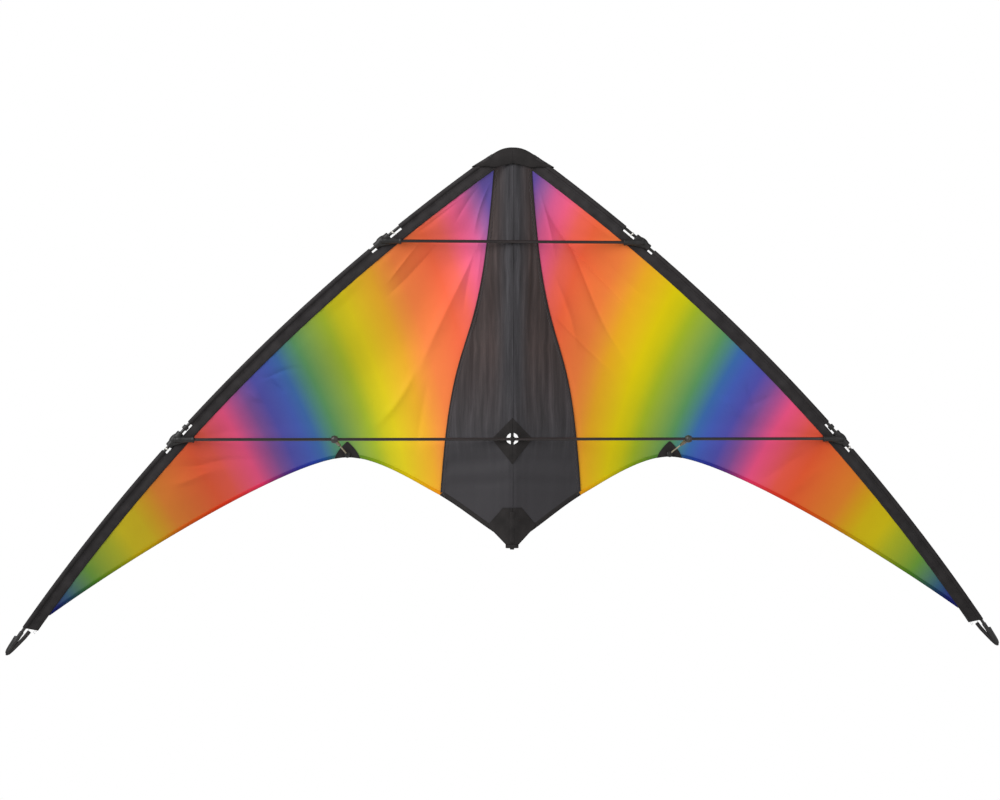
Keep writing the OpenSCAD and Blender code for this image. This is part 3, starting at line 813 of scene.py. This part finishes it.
def hem(name, edge, width, hand, finish, printed=False, span=(0.002, 0.998)):
    """A hem: the edge's cloth folded over, a strip of that width and a little thicker, inwards from the
    edge."""
    t = spaced(240, *span)
    line = edge(t)
    run = unit(np.gradient(line, axis=0))
    inward = np.stack([-run[:, 1], run[:, 0]], -1)
    across = spaced(4)
    plan = line[:, None] + across[None, :, None] * width * inward[:, None]
    x, z = plan[..., 0], plan[..., 1]
    middle = np.stack([x, sail_y(x, z, hand) - 0.05, z], -1)
    return piece(name, [cloth(middle, flat_uv(x, z), 1.3)], finish, SIDES[hand], printed)


def panel_plan(u, v):
    """(x, z) of half the centre panel: from the centre line, notched by the hole, out to its curved edge.
    Its rows leave the centre line level, so that the notch moves their points along them."""
    crown = 0.04
    low = np.clip((v - crown) / (1 - crown), 0, 1)
    top = np.clip(v / crown, 0, 1)
    crown_z = CLOTH_TOP * (1 - top) + SEAM_Z * top
    inner_z = np.where(v < crown, crown_z, SEAM_Z * (1 - low) + PANEL_LOW * low)
    inner = np.stack([0 * inner_z, inner_z], -1)
    notch = np.sqrt(np.maximum(0, CENTRE_HOLE_R**2 - inner_z**2)) * (1 - u) ** 8
    beside = np.stack([3.0 + 8.0 * (1 - top), 0 * top], -1)
    outer = np.where((v < crown)[..., None], band_point(crown_z) + beside, bezier(PANEL_SIDE, low) + [1.0, 0])
    share = np.stack([u, u * u], -1)
    bow = bezier(PANEL_HEM, u) - (1 - share) * PANEL_HEM[0] - share * PANEL_FOOT
    return (1 - share) * inner + share * outer + low[..., None] * bow + np.stack([notch, 0 * notch], -1)


def hole_rows(to_row, above, below, through):
    """Row places that crowd round the centre hole: to_row turns a height into a row place."""
    turn = np.linspace(0, math.pi, through)
    inside = to_row(CENTRE_HOLE_R * np.cos(turn))
    return np.concatenate([spaced(above, 0, inside[0])[:-1], inside, spaced(below, inside[-1], 1)[1:]])


def panel_y(x, z, u, hand):
    """The centre panel's depth: the sail's, with slack lengthwise gathers that fade towards the foot and
    the seams, and slacker cross folds below the spreader."""
    slack = 0.25 + 0.75 * window(z, -20, 352, 90)
    bent = x + 2.6 * np.sin(z / 83 + x / 13) + 1.3 * np.sin(z / 37 - x / 9)
    gathers = np.sin(bent / 3.3) + 0.6 * np.sin(bent / 1.9 + 1.3) + 1.1 * np.sin(bent / 6.1 + 0.4)
    folds = 0.9 * np.sin(z / 5.5 + x / 60) * window(z, -72, -8, 22)
    inside = window(u, -0.01, 1.0, 0.14)
    above_hem = window(z, PANEL_LOW + 0.75 * x, 400, 12)
    return sail_y(x, z, hand) - 0.3 + (0.42 * gathers * slack + folds) * inside * above_hem


def centre_panel(hand):
    """Half of the charcoal centre panel, which bends over the fold beside the spine, with its black hem."""
    rows = hole_rows(lambda z: 0.04 + 0.96 * (SEAM_Z - z) / (SEAM_Z - PANEL_LOW), 176, 76, 13)
    u, v = np.meshgrid(spaced(70), rows, indexing="xy")
    plan = panel_plan(u, v)
    x, z = plan[..., 0], plan[..., 1]
    middle = np.stack([x, panel_y(x, z, u, hand), z], -1)
    made = piece(f"{hand}_centre_cloth", [cloth(middle, flat_uv(x, z), CLOTH_T)], FINISH["panel"],
                 SIDES[hand])
    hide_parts(f"{hand}_centre_panel")
    edge = hem(f"{hand}_centre_hem", lambda t: bezier(PANEL_HEM, t), PANEL_HEM_W, hand, FINISH["patch"],
               span=(0.0, 1.0))
    # Painted shade: a narrow dark strip along the panel's curved edge stands for the shadow of the fold
    # there.
    edge_shade = hem(f"{hand}_centre_selvedge", lambda t: bezier(PANEL_SIDE, 1 - t) + [1.2, 0], EDGE_SHADE_W,
                   hand, FINISH["patch"], span=(0.0, 1.0))
    zigzag = panel_zigzag(hand)
    for trim in (made, edge, edge_shade, zigzag):
        over_fold(trim)


def panel_zigzag(hand):
    """The zigzag seam that joins the centre panel to the sail, just inside the panel's edge."""
    t = spaced(181, 0.0, 1.0)
    edge = bezier(PANEL_SIDE, t)
    inset = np.where(np.arange(181) % 2, 1.2, 4.4)
    line = np.stack([edge[:, 0] - inset, 0 * t, edge[:, 1]], -1)
    line[:, 1] = sail_y(line[:, 0], line[:, 2], hand) - 0.75
    legs = np.linalg.norm(np.diff(line, axis=0), axis=1).mean()
    thread = stitches(line, np.tile([0, -1.0, 0], (len(line), 1)), legs, 0.9 * legs, 0.3)
    return piece(f"{hand}_centre_zigzag", [thread], FINISH["pale_thread"], SIDES[hand])


def centre_seam():
    """The centre seam in front: a narrow turned edge from the nose to the hole and on to the tail, and the
    wider casing that holds the spine's foot over the tail patch."""
    strips = {
        "centre_front_seam": (((366, CENTRE_HOLE_R + 1.5), (-CENTRE_HOLE_R - 1.5, -93)), 0.9, 0.7, "panel",
                              "dark_ripstop"),
        "spine_foot_casing": (((-97, -138.5),), 4.6, 1.9, "patch", "black_webbing"),
    }
    for name, (runs, wide, lift, finish, slot) in strips.items():
        parts = []
        for top, foot in runs:
            x, z = np.meshgrid(spaced(9, -wide, wide), spaced(60, top, foot), indexing="xy")
            round_over = 0.6 * lift * (x / wide) ** 2
            parts.append(cloth(np.stack([x, round_over - lift, z], -1), flat_uv(x, z), 0.5))
        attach(piece(name, parts, FINISH[finish]), "spine")


def over_fold(made):
    """Bakes the piece's placement into its mesh."""
    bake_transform(made)


def sleeve(hand):
    """The folded sleeve: one strip of cloth from the front of the seam, round the rod and back to the seam
    behind, with two cut-outs round the rod. Its flat layers have small hand-sewn ripples."""
    gap, around, flat_columns = 0.5, 24, 7
    swell = math.asin(gap / SLEEVE_R)
    flat = np.linspace(-BAND_W, -CUT_BAND, flat_columns)
    ease = np.linspace(-CUT_BAND, -SLEEVE_R * math.cos(swell), 4)[1:-1]
    turn = np.linspace(-math.pi + swell, math.pi - swell, around)
    reach = np.concatenate([flat, ease, SLEEVE_R * np.cos(turn), ease[::-1], flat[::-1]])
    layers = flat_columns + 2
    y = np.concatenate([np.full(layers, -gap), SLEEVE_R * np.sin(turn), np.full(layers, gap)])
    start, end = SLEEVE_ENDS
    angle = np.linspace(start, end, 420)
    s = ((start - angle) * EDGE_R)[:, None]
    length = s[-1, 0]
    slant = 7.0 * np.clip(-reach / BAND_W, 0, 1)[None] * np.clip((s - length + 40) / 40, 0, 1)
    off = np.concatenate([[0], np.hypot(np.diff(reach), np.diff(y)).cumsum()])[None]
    ripple = 0.12 * np.sin(s / 4.1 + off / 7) + 0.09 * np.sin(s / 2.3 - off / 3)
    ripple = ripple + 0.15 * np.sin(s / 17 + off / 5)
    on_band = np.clip((-reach - SLEEVE_R) / 4, 0, 1)[None]
    place = edge_point(angle[:, None] + slant * MM_ANGLE, EDGE_R + reach[None] + 0.3 * ripple * on_band)
    middle = np.stack([place[..., 0], y[None] + ripple * on_band + 0 * s, place[..., 1]], -1)
    uv = np.stack(np.broadcast_arrays(s * MM, off * MM), -1)
    cell_angle = (angle[:-1] + angle[1:])[:, None] / 2
    cell_reach = (reach[:-1] + reach[1:])[None] / 2
    in_cut = np.any([(cell_angle < top) & (cell_angle > foot) for top, foot in CUT_OUTS], axis=0)
    made = piece(f"{hand}_sleeve_cloth", [cloth(middle, uv, 0.4, ~(in_cut & (cell_reach > -CUT_BAND)))],
                 FINISH["sleeve"], SIDES[hand])
    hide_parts(f"{hand}_edge_sleeve")
    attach(made, f"{hand}_wing")
    rows = []
    for inset in (1.6, 3.6, BAND_W - CUT_BAND - 0.8):
        line = edge_point(angle, EDGE_R - BAND_W + inset + 0 * angle)
        points = np.stack([line[:, 0], np.full(420, -0.8), line[:, 1]], -1)
        rows.append(stitches(points, np.tile([0, -1.0, 0], (420, 1)), 3.2, 2.3, 0.2))
    seam = piece(f"{hand}_sleeve_stitches", rows, FINISH["thread"], SIDES[hand])
    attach(seam, f"{hand}_wing")


def centre_tape():
    """The seam tape behind the centre line, which the hole cuts in two."""
    parts = []
    for top, foot in ((CLOTH_TOP, CENTRE_HOLE_R + 1), (-CENTRE_HOLE_R - 1, TAPE_LOW)):
        x, z = np.meshgrid(spaced(5, -FOLD_X, FOLD_X), spaced(90, top, foot), indexing="xy")
        parts.append(cloth(np.stack([x, 0 * x + 0.33, z], -1), flat_uv(x, z), 0.3))
    made = piece("centre_seam_tape", parts, FINISH["panel"])
    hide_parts("centre_tape")
    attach(made, "spine")


# ---------------------------------------------------------------- patches

def brow(x):
    """Height of the nose patch's top edge: a flat crown that rounds off to straight shoulders."""
    crown, reach, drop = 2.0, 23.0, 0.0145
    corner_z = edge_point(edge_angle(357.5, EDGE_R), EDGE_R + 4.6)[1]
    shoulder = NOSE_TOP - drop * (reach - crown) ** 2
    curve = NOSE_TOP - drop * np.maximum(0, x - crown) ** 2
    straight = shoulder + (corner_z - shoulder) * (x - reach) / (NOSE_CORNER_X - reach)
    return np.where(x < reach, curve, straight)


def nose_patch(hand):
    """Half of the folded nose patch: each section is a hairpin over the rods, from front edge to back
    edge."""
    reach = NOSE_CORNER_X - 0.4
    x, s = np.meshgrid(spaced(60, 0, reach), spaced(49, -1, 1), indexing="xy")
    top = brow(x) - 0.4
    corner_z = edge_point(edge_angle(357.5, EDGE_R), EDGE_R + 4.6)[1]
    middle_low, bend, step = 365.5, 22, 0.5
    low = np.where(
        x < bend,
        middle_low + (corner_z + step - middle_low) * x / bend,
        corner_z + step * (reach - x) / (reach - bend))
    low = np.minimum(low, top - 0.6) - 1.2 * np.exp(-(((x - 25) / 7) ** 2))
    down = np.abs(s)
    swell = np.where(s < 0, 4.0, 4.0 + 2.0 * np.exp(-((x / 7) ** 2)))
    y = np.sign(s) * swell * (1 - (1 - down) ** 2.4) * (1 - 0.35 * down**4)
    z = top - (top - low) * down
    middle = np.stack([x, y, z], -1)
    uv = np.stack([x, s * 24], -1) * MM
    made = piece(
        f"{hand}_nose_webbing", [cloth(middle, uv, 0.8)], FINISH["patch"], SIDES[hand])
    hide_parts("nose_patch")
    over_fold(made)


def flat_patch(name, hand, half, top, foot, rows, lift, columns=30):
    """Half of a patch on the cloth's front: half(z) is its half width, from top down to foot."""
    u, z = np.meshgrid(spaced(columns), rows(top, foot), indexing="xy")
    notch = np.sqrt(np.maximum(0, CENTRE_HOLE_R**2 - z**2))
    x = notch + (np.maximum(half(z), notch + 0.2) - notch) * u
    middle = np.stack([x, sail_y(x, z, hand) - lift, z], -1)
    made = piece(name, [cloth(middle, flat_uv(x, z), 0.6)], FINISH["patch"], SIDES[hand])
    over_fold(made)
    return made


def diamond_rows(top, foot):
    turn = np.linspace(0, math.pi, 25)
    inside = CENTRE_HOLE_R * np.cos(turn)
    return np.concatenate([spaced(16, top, inside[0])[:-1], inside, spaced(16, inside[-1], foot)[1:]])


def centre_patch(hand):
    """Half of the diamond patch round the centre hole."""
    wide, top, foot = 27.2, 28.0, -33.5
    made = flat_patch(
        f"{hand}_diamond_webbing", hand, lambda z: np.interp(-z, [-top, 0, -foot], [0, wide, 0]),
        top, foot, diamond_rows, 0.95)
    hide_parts("centre_patch")


def tail_patch(hand):
    """Half of the tail patch: a flat top, a slanted side, a corner at the trailing edge and a run in to the
    tail."""
    top, corner, foot = -91.7, -113.5, -140.5
    made = flat_patch(
        f"{hand}_tail_webbing", hand,
        lambda z: np.interp(-z, [-top, -corner, 4 - corner, -foot], [12.6, 31.0, 31.0, 8.9]),
        top, foot, lambda a, b: spaced(50, a, b), 1.05)
    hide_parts("tail_patch")


def tail_tab():
    """The folded strap under the tail that holds the spine's foot: a flattened loop of webbing round the
    end cap."""
    low, high = box_mm("tail_tab")
    turn = np.linspace(0, 2 * math.pi, 60, endpoint=False)
    power = 0.45
    wide, deep = (high[0] - low[0]) / 2 - 0.4, (high[1] - low[1]) / 2 - 0.4
    loop_x = wide * np.sign(np.cos(turn)) * np.abs(np.cos(turn)) ** power
    loop_y = SPINE_Y + deep * np.sign(np.sin(turn)) * np.abs(np.sin(turn)) ** 0.8
    z = spaced(12, high[2] + 1.5, low[2])
    rings = np.stack(np.broadcast_arrays(loop_x[None], loop_y[None], z[:, None]), -1)
    uv = np.stack(np.broadcast_arrays(np.linspace(0, 50, 60)[None] * MM, z[:, None] * MM), -1)
    made = piece("tail_strap", [loft(rings, uv)], FINISH["patch"])
    bevel = made.modifiers.new("soft_edges", "BEVEL")
    bevel.width, bevel.segments = 0.5 * MM, 3
    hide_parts("tail_tab")
    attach(made, "spine")


def standoff_patch(hand):
    """The reinforcement on the trailing edge at the standoff: a low triangle with a blunt top."""
    centre, high = 219.0, 21.0
    u, v = np.meshgrid(spaced(40), spaced(30), indexing="xy")
    half = 1.0 + 16 * (1 - (1 - v) ** 1.5)
    x = centre + (2 * u - 1) * half
    t = spaced(400)
    line = hem_at(t)
    foot = np.interp(x, line[:, 0], line[:, 1])
    z = foot - 0.3 + high * (1 - v)
    middle = np.stack([x, sail_y(x, z, hand) - 0.75, z], -1)
    made = piece(f"{hand}_standoff_webbing", [cloth(middle, flat_uv(x, z), 0.6)], FINISH["patch"],
                 SIDES[hand])
    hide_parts(f"{hand}_standoff_patch")
    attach(made, f"{hand}_wing")


# ---------------------------------------------------------------- fittings

def on_edge(angle, reach=0.0, y=0.0, along=0.0):
    """A point near a leading edge: reach outwards from the rod's axis and along it towards the nose."""
    place = edge_point(angle, EDGE_R + reach) + along * np.array([-math.sin(angle), math.cos(angle)])
    return np.array([place[0], y, place[1]])


def edge_run(angle):
    """Direction along the rod, towards the nose."""
    return np.array([-math.sin(angle), 0, math.cos(angle)])


def edge_out(angle):
    return np.array([math.cos(angle), 0, math.sin(angle)])


def connector(hand, level, z):
    """Moulded connector: a thick tube on the rod, an elbow, and a socket with a lip for the spreader's
    end."""
    angle = edge_angle(z, EDGE_R)
    centre = on_edge(angle)
    run, out = edge_run(angle), edge_out(angle)
    mouth = np.array([centre[0] - 26, SPREADER_Y, z])
    web = [centre - 9 * run, centre + [-9, SPREADER_Y * 0.7, -2.2], mouth + [9, 0, -1.0]]
    parts = [
        turned(rounded_rod(24, 4.75, 0.9), centre - 12 * run, run),
        ball(centre + 0.9 * out, 5.3, run, 1.7),
        turned(rounded_rod(27, 3.8, 0.8), mouth, (1, 0, 0)),
        turned(rounded_rod(2.8, 4.3, 0.6), mouth, (1, 0, 0)),
        ball((centre + [0, SPREADER_Y, 0]) - [6, 0, 0], 4.2, (1, 0, 0), 1.9),
        tube(web, [3.2, 3.0, 2.6], 16),
    ]
    made = piece(f"{hand}_{level}_elbow", parts, FINISH["rubber"], SIDES[hand])
    fuse(made, 0.4, 6)
    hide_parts(f"{hand}_{level}_connector")
    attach(made, f"{hand}_wing")


def stop_ring(hand):
    angle = LOWER_ANGLE + 21 * MM_ANGLE
    run = edge_run(angle)
    parts = [turned(rounded_rod(6, 3.85, 1.0), on_edge(angle) - 3 * run, run)]
    made = piece(f"{hand}_rubber_ring", parts, FINISH["rubber"], SIDES[hand])
    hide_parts(f"{hand}_stop_ring")
    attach(made, f"{hand}_wing")


def bridle_loop(hand, level, angle):
    """The end of a bridle line: one turn round the rod, a knot in front and a short tail over the gap."""
    run, out = edge_run(angle), edge_out(angle)
    forward = np.array([0, -1.0, 0])
    turn = np.linspace(0, 2 * math.pi, 48, endpoint=False)[:, None]
    parts = [tube(on_edge(angle) + 2.6 * (np.cos(turn) * out + np.sin(turn) * forward), 0.5, 10, looped=True)]
    knot = on_edge(angle) + 3.3 * forward
    turn = turn[::2]
    parts.append(tube(knot + 0.7 * np.cos(turn) * run + 0.7 * np.sin(turn) * out, 0.5, 10, looped=True))
    parts.append(ball(knot, 0.75))
    t = spaced(20)[:, None]
    tail = knot + t * (-5.5 * out) + 2.0 * t * run + np.sin(3 * t) * 0.8 * forward
    parts.append(tube(tail, 0.4, 10))
    made = piece(f"{hand}_{level}_white_loop", parts, FINISH["white_line"], SIDES[hand])
    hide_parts(f"{hand}_{level}_bridle_loop")
    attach(made, f"{hand}_wing")


def tip_nock(hand):
    """Arrow nock: a socket on the rod, a barb on the outer side and a rounded, slotted point."""
    angle = TIP_ANGLE
    run, out = edge_run(angle), edge_out(angle)
    base = on_edge(angle)
    taper = np.array([[0, 2.8], [2, 2.8], [8, 2.55], [14, 2.15], [19, 1.8]])
    point = np.linspace(0, math.pi / 2, 6)
    tip = np.column_stack([19 + 1.75 * np.sin(point[1:]), 1.8 * np.cos(point[1:]) + 0.02])
    start = [turned(rounded_rod(14, 2.8, 0.5), base - 6 * run, run)]
    start.append(turned(np.concatenate([taper, tip]), base - 5 * run, -run))
    rows = spaced(16)
    reach = np.array([2.4, 5.3, 5.3, 5.0, 4.8, 4.5, 3.8, 2.4])
    place = np.array([-0.6, -1.2, -3.0, -8.0, -14.0, -19.0, -24.0, -27.0])
    keys = spaced(len(reach))
    reach, place = np.interp(rows, keys, reach), np.interp(rows, keys, place)
    turn = np.linspace(0, 2 * math.pi, 20, endpoint=False)
    middle = (reach[:, None, None] / 2) * out + place[:, None, None] * run + base
    thick = 1.35 * np.sin(turn)[None, :, None] * np.array([0, 1.0, 0])
    start.append(loft(middle + (reach[:, None, None] / 2) * np.cos(turn)[None, :, None] * out + thick))
    made = piece(f"{hand}_arrow_nock", start, FINISH["nock"], SIDES[hand])
    fuse(made, 0.3, 4)
    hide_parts(f"{hand}_tip_nock")
    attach(made, f"{hand}_wing")
    keys = np.array([[-7.6, 13.8, 2.6], [-6.8, 4, 2.6], [-4.9, -8, 2.4], [-3.3, -18, 2.1], [-2.0, -24.5, 1.8],
                     [-0.6, -27.2, 1.5], [1.0, -27.9, 1.2]])
    steps = np.concatenate([[0], np.linalg.norm(np.diff(keys[:, :2], axis=0), axis=1).cumsum()])
    reach, along, half = (np.interp(np.linspace(0, steps[-1], 60), steps, keys[:, k]) for k in range(3))
    path = base + reach[:, None] * out + along[:, None] * run
    cord = piece(f"{hand}_tip_line", [tube(path, half, 16, flat=0.5)], FINISH["black_line"],
                 SIDES[hand])
    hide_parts(f"{hand}_tip_cord")
    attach(cord, f"{hand}_wing")


CLIP = np.array([236.0, SPREADER_Y, LOWER_Z])
FITTING = np.array([219.0, float(depth(np.array(219.0), np.array(-23.0))), -23.0])


def standoff(hand):
    """The clip on the lower spreader, its clear cup and the ringed fitting on the trailing edge."""
    run = unit(FITTING - CLIP)
    side = SIDES[hand]
    collar = np.linspace(0, 2 * math.pi, 48, endpoint=False)[:, None]
    ring = np.cos(collar) * [0, 1.0, 0] + np.sin(collar) * [0, 0, 1.0]
    parts = [ball(CLIP, 5.15, (1, 0, 0), 0.97), turned(rounded_rod(9, 1.5, 0.3), CLIP, run)]
    parts += [tube(CLIP + [x, 0, 0] + 3.3 * ring, 0.9, 12, True) for x in (-3.4, 3.4)]
    clip = piece(f"{hand}_clip_ball", parts, FINISH["clip"], side)
    fuse(clip, 0.3, 4)
    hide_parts(f"{hand}_standoff_clip")
    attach(clip, f"{hand}_standoff")
    profile = np.array([[0, 2.1], [0.3, 2.5], [2, 2.6], [8, 2.5], [13, 2.2], [17.4, 1.8], [18, 1.3]])
    skin = turned(profile, CLIP + 5.6 * run, run)
    cup = piece(f"{hand}_clear_cup", [skin], FINISH["vinyl"], side)
    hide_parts(f"{hand}_standoff_cup")
    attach(cup, f"{hand}_standoff")
    ring = np.cos(collar) * [1.0, 0, 0] + np.sin(collar) * [0, 0, 1.0]
    parts = [
        ball(FITTING, 4.0, run, 1.0),
        turned(rounded_rod(7, 1.9, 0.5), FITTING - 7.5 * run, run),
        tube(FITTING + [0, -2.6, 0] + 3.1 * ring, 1.1, 12, True),
    ]
    grip = piece(f"{hand}_hem_grip", parts, FINISH["rubber"], side)
    fuse(grip, 0.35, 5)
    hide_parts(f"{hand}_standoff_fitting")
    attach(grip, f"{hand}_wing")


def lashing():
    """Line that ties the spreader to the spine: two crossed sets of turns on the diagonals and a knot."""
    front, back = SPREADER_Y - ROD_R - 0.5, SPINE_Y + ROD_R + 0.5
    wide = 0.5 + ROD_R * math.sqrt(2)
    middle, deep = (front + back) / 2, (back - front) / 2
    turn = np.linspace(0, 2 * math.pi, 64, endpoint=False)
    parts = []
    for lean in (-1, 1):
        slant = np.array([lean, 0, 1.0]) / math.sqrt(2)
        beside = np.array([1.0, 0, -lean]) / math.sqrt(2)
        for step in (-1.0, 0.0, 1.0):
            power = 0.6
            out = wide * np.sign(np.cos(turn)) * np.abs(np.cos(turn)) ** power
            y = middle + (deep + 0.35 * (lean > 0)) * np.sign(np.sin(turn)) * np.abs(np.sin(turn)) ** power
            path = out[:, None] * slant + 1.05 * step * beside + y[:, None] * np.array([0, 1.0, 0])
            parts.append(tube(path, 0.5, 8, looped=True))
    parts.append(ball((1.2, front - 0.9, -2.6), 1.1))
    made = piece("centre_tie", parts, FINISH["black_line"])
    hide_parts("centre_lashing")
    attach(made, "spine")


# ---------------------------------------------------------------- make it all

def dress(name, finish):
    """Gives a CAD node that keeps its shape its finish."""
    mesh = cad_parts[name].data
    mesh.materials.clear()
    mesh.materials.append(FINISH[finish])


centre_tape()
centre_seam()
tail_tab()
lashing()
for hand in SIDES:
    sail(hand)
    centre_panel(hand)
    sleeve(hand)
    nose_patch(hand)
    centre_patch(hand)
    tail_patch(hand)
    standoff_patch(hand)
    for level, z in (("upper", UPPER_Z), ("lower", LOWER_Z)):
        connector(hand, level, z)
    stop_ring(hand)
    bridle_loop(hand, "upper", UPPER_ANGLE + 18 * MM_ANGLE)
    bridle_loop(hand, "lower", LOWER_ANGLE - 16 * MM_ANGLE)
    tip_nock(hand)
    standoff(hand)
    dress(f"{hand}_edge_rod", "rod_z")
    dress(f"{hand}_rod_nose_cap", "cap")
    dress(f"{hand}_standoff_rod", "glass_rod")
for name, finish in (("spine_rod", "rod_z"), ("upper_spreader_rod", "rod_x"), ("lower_spreader_rod", "rod_x"),
                     ("spine_nose_cap", "cap"), ("spine_tail_cap", "cap")):
    dress(name, finish)
